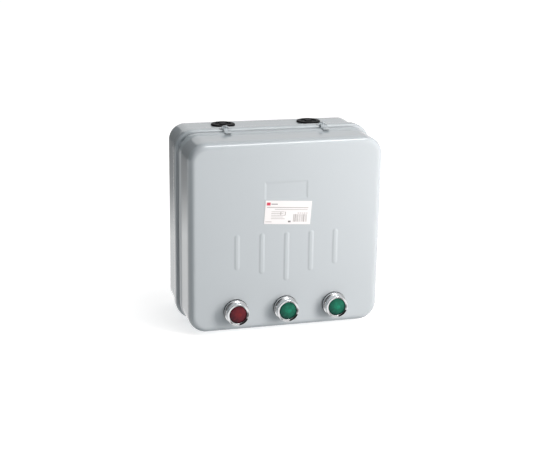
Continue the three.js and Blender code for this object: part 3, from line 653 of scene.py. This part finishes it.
def hinge_staple(name, x):
    """The base's half of a lift-off hinge: a bent wire over the cover's hook, with a foot beside each leg."""
    inner = HINGE["width"] / 2 + GAP
    outer = inner + STAPLE["leg"]
    bottom = -HINGE["outer"]
    bar = HINGE["bar"]
    parts = [turned([(0, -outer), (bar, -outer), (bar, outer), (0, outer)], 32, 0.3, "X")]
    for side in SIDES.values():
        near, far = sorted((side * inner, side * outer))
        parts.append(rounded_box((near, -bar, bottom + 0.01), (far, bar, 0.2), 0.3))
        near, far = sorted((side * inner, side * (outer + STAPLE["foot"])))
        foot_top = (far, STAPLE["back"], bottom + STAPLE["height"])
        parts.append(rounded_box((near, STAPLE["front"], bottom), foot_top))
    made = add_object(name, together(parts), ENAMEL, (x, HINGE["y"], HINGE_Z))
    settle(made, "base", "grey_enamel", name)


def hinge_hook(name, x):
    """The cover's half: a leaf on the cover's rim, a step up over the base's rim, and a curl about the bar."""
    half, bottom, top = HINGE["width"] / 2, -HINGE["outer"], -HINGE["inner"]
    drop = (BASE["rim_height"] - COVER["rim_height"]) / 2
    seat, rim = COVER["seam"] - HINGE["y"], BASE["seam"] - HINGE["y"]
    under = [(seat - 1, bottom - drop), (seat, bottom - drop), (rim, bottom), (0, bottom)]
    around = [(math.radians(t)) for t in range(-80, 101, 20)]
    outline = under + [(HINGE["outer"] * math.cos(t), HINGE["outer"] * math.sin(t)) for t in around]
    outline += [(HINGE["inner"] * math.cos(t), HINGE["inner"] * math.sin(t)) for t in around[::-1]]
    outline += [(0, top), (rim, top), (seat, top - drop), (seat - 1, top - drop)]
    leaf_low = (-LEAF["width"] / 2, LEAF["end"] - HINGE["y"], bottom - drop)
    leaf = rounded_box(leaf_low, (LEAF["width"] / 2, seat, bottom - drop + LEAF["thickness"]), 0.25)
    parts = [prism(outline, "X", -half, half, 0.12), leaf]
    made = add_object(name, together(parts), ENAMEL, (x, HINGE["y"], HINGE_Z))
    settle(made, "cover", "grey_enamel", name)


def cover_screw(name, x):
    """A captive cheese-head screw with a slot, and a hexagonal collar that draws the tongue down."""
    top = -COVER["rim_height"] / 2 - GAP
    bottom = top - SCREW["head_height"]
    collar = TONGUE_Z + SHEET + GAP
    head, shank = SCREW["head"], SCREW["radius"]
    body = turned([(0, bottom), (head - 0.5, bottom), (head, bottom + 0.5), (head, top), (shank, top),
                   (shank, collar + 4), (0, collar + 4)], 64, 0.2, "Z")
    whole = together([body, prism(hexagon(head), "Z", collar, collar + 3)])
    made = add_object(name, whole, ZINC, (x, SCREW["y"], 0))
    cut(made, rounded_box((-6, -0.5, bottom - 1), (6, 0.5, bottom + 1.2), 0))
    settle(made, name, "zinc_steel", name)


def rating_label():
    """A printed sticker that was put on slightly askew."""
    half_x, half_z = LABEL["width"] / 2, LABEL["height"] / 2
    print_depth = 0.02
    front = -LABEL["thickness"] + print_depth

    def bar(x, z, width, height):
        """A printed bar, placed from the label's top left corner."""
        low = (-half_x + x, front - print_depth, half_z - z - height)
        return rounded_box(low, (low[0] + width, front, low[2] + height), 0)

    dark = [bar(7.3, 3.6, 7.6, 1.0), bar(29, 24, 3.2, 2)]
    faint = [bar(2.2, 7.6, 50.5, 0.9), bar(12, 10.2, 40, 0.6), bar(1.6, 25.2, 7.5, 0.7)]
    faint += [bar(8, 13 + 2.1 * row, 14 + 5 * random.random(), 0.6) for row in range(5)]
    faint += [bar(19 + 5.5 * column, 13, 1.0, 4.2) for column in range(2)]
    along = 35.0
    while along < 51.5:
        width = random.choice((0.6, 1.0, 1.6))
        faint.append(bar(along, 16.0, width, 9.2))
        along += width + random.choice((0.6, 1.0))
    faint += [bar(40 + 2.6 * k, 14.2, 1.7, 0.9) for k in range(5)]
    red = [bar(1.6, 2.2, 4.6, 3.6)]
    sheet = rounded_box((-half_x, front, -half_z), (half_x, 0, half_z), 0)
    parts = [sheet, *dark, *faint, *red]
    indices = [0] + [1] * len(dark) + [2] * len(faint) + [3] * len(red)
    whole = together(parts, indices)
    moved(whole, (0, 0, 0), Matrix.Rotation(math.radians(LABEL["tilt"]), 3, "Y"))
    place = (LABEL["x"], FACE_Y - 0.05, LABEL["z"])
    made = add_object("label", whole, [PAPER, INK_DARK, INK_FAINT, INK_RED], place)
    settle(made, "cover", "label_paper", "rating_label")


# ---------------------------------------------------------------- push buttons
def button_gasket(name, place):
    """A rubber ring between a button's head and the cover."""
    bm = turned([(11.6, -1.2), (14.9, -1.2), (14.9, 0), (11.6, 0)], ROUND, 0.3)
    settle(add_object(name, bm, RUBBER, place), "cover", "black_rubber", name)


def button_bezel(name, place):
    """A chromed ring: a base flange, a grooved neck, and a front ring with a bevel down to the lens."""
    front = -BUTTON["proud"]
    bore = LENS_RADIUS + GAP
    profile = [(BARREL["bore"], front + 9), (bore, front + 9), (bore, front + 1.0), (12.9, front),
               (13.2, front), (13.6, front + 0.6), (13.6, front + 5.2), (13.2, front + 5.6),
               (13.2, front + 6.6),
               (13.7, front + 6.9), (13.7, front + 7.6), (13.2, front + 7.9), (13.3, front + 8.6),
               (14.7, front + 9.4), (14.7, -1.4), (BARREL["radius"], -1.4), (BARREL["radius"], BARREL["back"]),
               (BARREL["bore"], BARREL["back"])]
    bm = turned(profile, 128, 0.3)
    settle(add_object(name, bm, CHROME, place), "cover", "chrome", name)


def button_lens(name, place, slot):
    """A translucent cap, gently domed inside a rounded rim, on a stem that reaches back to the contacts."""
    front = -BUTTON["proud"] + 1.5
    stem = BARREL["bore"] - GAP
    shoulder, end = front + 3.4, BARREL["back"] + 1
    dome = [(8.8 * k / 6, front - 0.5 + 0.5 * (k / 6) ** 2) for k in range(7)]
    profile = [*dome, (9.1, front + 0.3), (9.4, front), (LENS_RADIUS - 0.6, front + 0.1),
               (LENS_RADIUS, front + 0.9), (LENS_RADIUS, shoulder), (stem, shoulder), (stem, end), (0, end)]
    bm = turned(profile, ROUND, 0.25)
    made = add_object(name, bm, SLOT_MATERIALS[slot], place, 50)
    settle(made, name.replace("_lens", ""), slot, name)


def fixing_nut(name, place):
    """A hexagonal nut with chamfered corners, inside the cover."""
    front = SHEET + 0.05
    corner_radius, thickness, clearance = 15.4, 4.7, 0.1
    nut = prism(hexagon(corner_radius), "Y", front, front + thickness, 0.4)
    made = add_object(name, nut, DARK_PLASTIC, place)
    thread = BARREL["radius"] + clearance
    cut(made, turned([(0, 0), (thread, 0), (thread, THROUGH), (0, THROUGH)], 64, 0))
    settle(made, "cover", "dark_plastic", name)


# ---------------------------------------------------------------- CAD pieces that only need soft edges
def dress(node, slot, width=0.4, smooth=35):
    """A CAD piece keeps its shape and gets rounded edges and its finish."""
    obj = frame["nodes"][node]
    weld = obj.modifiers.new("weld", "WELD")
    weld.merge_threshold = 0.00002
    flat = obj.modifiers.new("flat", "DECIMATE")
    flat.decimate_type = "DISSOLVE"
    flat.angle_limit = math.radians(1)
    if width:
        bevel = obj.modifiers.new("bevel", "BEVEL")
        bevel.width = width * MM
        bevel.segments = 2
        bevel.limit_method = "ANGLE"
        bevel.angle_limit = math.radians(smooth)
        bevel.use_clamp_overlap = True
        bevel.harden_normals = True
    obj.data.materials.clear()
    obj.data.materials.append(SLOT_MATERIALS[slot])
    for polygon in obj.data.polygons:
        polygon.use_smooth = True


# ---------------------------------------------------------------- the starter
def build_enclosure():
    base_shell()
    cover_shell()
    seam_gasket()
    rating_label()
    for side_name, side in SIDES.items():
        for end_name, end in (("top", 1), ("bottom", -1)):
            grommet(f"entry_grommet_{end_name}_{side_name}", side, end)
        hinge_staple(f"hinge_staple_{side_name}", side * HINGE["x"])
        hinge_hook(f"hinge_hook_{side_name}", side * HINGE["x"])
        cover_screw(f"cover_screw_{side_name}", side * SCREW["x"])


def build_buttons():
    for name, side in BUTTONS.items():
        place = (side * BUTTON["pitch"], FACE_Y, BUTTON["z"])
        button_gasket(f"{name}_button_gasket", place)
        button_bezel(f"{name}_button_bezel", place)
        button_lens(f"{name}_button_lens", place, "red_lens" if name == "stop" else "green_lens")
        fixing_nut(f"{name}_button_nut", place)


def dress_the_rest():
    """Every CAD node that nothing stands for."""
    for row in frame["record"]["subparts"]:
        node = row["node"]
        if not frame["nodes"][node].hide_render:
            dress(node, row["material_slot"])


# ---------------------------------------------------------------- stage
def build_stage():
    """The floor shows to the camera and takes shadows, but reflections and bounced light miss it."""
    floor_bm = bmesh.new()
    bmesh.ops.create_grid(floor_bm, x_segments=1, y_segments=1, size=FLOOR["size"])
    moved(floor_bm, (0, FLOOR["shift"], 0))
    paper = finish_of("floor", (0.93, 0.93, 0.93), 0.8, mottle=0.004, patch=1, grain=60, grain_depth=0.0001)
    shine(paper, FLOOR["glow"])
    floor = add_object("floor", floor_bm, paper, (0, 0, FLOOR["z"]))
    floor.visible_glossy = False
    floor.visible_diffuse = False
    backdrop()
    reflected_card()


def shine(material, level):
    """Makes a finish shine white by itself."""
    shader = material.node_tree.nodes["Principled BSDF"]
    shader.inputs["Emission Color"].default_value = rgba((1, 1, 1))
    shader.inputs["Emission Strength"].default_value = level


def grey_ramp(node, levels):
    """Fills a colour ramp with greys, given as (position, level) from 0 to 1."""
    stops = node.color_ramp.elements
    stops[0].color = rgba((levels[0][1],) * 3)
    stops[1].color = rgba((levels[-1][1],) * 3)
    for position, level in levels[1:-1]:
        stops.new(position).color = rgba((level,) * 3)
    return node


def build_world():
    """A studio with a dark left and a white ground, and soft patches for the bright pieces to mirror."""
    world = bpy.data.worlds.new("studio")
    bpy.context.scene.world = world
    world.use_nodes = True
    tree = world.node_tree
    tree.nodes.clear()
    add = node_adder(tree)

    direction = add("TexCoord").outputs["Generated"]
    parts = add("SeparateXYZ", Vector=direction)
    across = add("MapRange", Value=parts.outputs["X"], From_Min=-1.0, From_Max=1.0)
    ramp = grey_ramp(add("ValToRGB", Fac=across.outputs["Result"]), SKY_LEVELS)
    below = add("MapRange", Value=parts.outputs["Z"], From_Min=HORIZON[0], From_Max=HORIZON[1])
    level = blend_between(tree, below.outputs["Result"], ramp.outputs["Color"], rgba((GROUND_LEVEL,) * 3))
    for towards, inner, outer, shade in PATCHES:
        facing = tree.nodes.new("ShaderNodeVectorMath")
        facing.operation = "DOT_PRODUCT"
        tree.links.new(direction, facing.inputs[0])
        facing.inputs[1].default_value = Vector(towards).normalized()
        share = add("MapRange", Value=facing.outputs["Value"], From_Min=math.cos(math.radians(outer)),
                    From_Max=math.cos(math.radians(inner)))
        level = blend_between(tree, share.outputs["Result"], level, rgba((shade,) * 3))
    background = add("Background", Color=level, Strength=SKY_STRENGTH)
    output = tree.nodes.new("ShaderNodeOutputWorld")
    tree.links.new(background.outputs["Background"], output.inputs["Surface"])


def backdrop():
    """A white wall all round, far off, that stands behind the floor's edge and lights nothing."""
    radius, sides = BACKDROP["radius"], BACKDROP["sides"]
    turns = [2 * math.pi * k / sides for k in range(sides)]
    bm = bmesh.new()
    foot, head = ([bm.verts.new((radius * math.cos(turn), radius * math.sin(turn), z)) for turn in turns]
                  for z in (BACKDROP["foot"], BACKDROP["head"]))
    for k in range(sides):
        bm.faces.new([foot[k], foot[k - 1], head[k - 1], head[k]])
    white = finish_of("backdrop", (0.0, 0.0, 0.0), 1.0, patch=1, grain=60, specular=0.0)
    shine(white, 1.0)
    wall = add_object("backdrop", bm, white)
    wall.visible_glossy = False
    wall.visible_diffuse = False
    wall.visible_shadow = False


def reflected_card():
    """A dark card that only reflections see, fading to white at its foot."""
    made, shader, add, tree = node_material("card_behind")
    height = add("SeparateXYZ", Vector=add("TexCoord").outputs["Object"]).outputs["Z"]
    share = add("MapRange", Value=height, From_Min=CARD["bottom"] * MM, From_Max=CARD["fade_end"] * MM)
    fade = grey_ramp(add("ValToRGB", Fac=share.outputs["Result"]), CARD_LEVELS)
    shader.inputs["Base Color"].default_value = rgba((0.0, 0.0, 0.0))
    shader.inputs["Specular IOR Level"].default_value = 0.0
    shader.inputs["Emission Strength"].default_value = 1.0
    tree.links.new(fade.outputs["Color"], shader.inputs["Emission Color"])
    bm = bmesh.new()
    corners = [(CARD["left"], CARD["bottom"]), (CARD["right"], CARD["bottom"]), (CARD["right"], CARD["top"]),
               (CARD["left"], CARD["top"])]
    bm.faces.new([bm.verts.new((x, CARD["y"], z)) for x, z in corners])
    card = add_object("card_behind", bm, made)
    card.visible_camera = False
    card.visible_shadow = False
    card.visible_diffuse = False


def area_light(name, place, target, size, power, colour, in_reflections):
    """A rectangular lamp that faces its target."""
    data = bpy.data.lights.new(name, "AREA")
    data.shape = "RECTANGLE"
    data.size, data.size_y = size
    data.energy = power
    data.color = colour
    lamp = bpy.data.objects.new(name, data)
    lamp.location = place
    lamp.visible_glossy = in_reflections
    lamp.rotation_mode = "QUATERNION"
    lamp.rotation_quaternion = (Vector(target) - Vector(place)).to_track_quat("-Z", "Y")
    bpy.context.scene.collection.objects.link(lamp)


def build_camera():
    """A camera on a ball about its target, tipped by its roll."""
    azimuth, elevation, roll = (math.radians(CAMERA[angle]) for angle in ("azimuth", "elevation", "roll"))
    back = Vector((math.sin(azimuth) * math.cos(elevation), -math.cos(azimuth) * math.cos(elevation),
                   math.sin(elevation)))
    level = Vector((math.cos(azimuth), math.sin(azimuth), 0))
    upright = back.cross(level)
    right = level * math.cos(roll) + upright * math.sin(roll)
    up = upright * math.cos(roll) - level * math.sin(roll)
    place = (Vector(CAMERA["target"]) + back * CAMERA["distance"]) * MM
    data = bpy.data.cameras.new("camera")
    data.lens = CAMERA["lens"]
    data.sensor_width = CAMERA["sensor"]
    data.clip_start, data.clip_end = CAMERA["clip"]
    camera = bpy.data.objects.new("camera", data)
    bpy.context.scene.collection.objects.link(camera)
    axes = Matrix((right, up, back)).transposed().to_4x4()
    axes.translation = place
    camera.matrix_world = axes
    bpy.context.scene.camera = camera


build_enclosure()
build_buttons()
dress_the_rest()
build_stage()
build_world()
area_light("key", **KEY)
area_light("top", **TOP)
build_camera()
bpy.context.scene.view_settings.view_transform = "Standard"
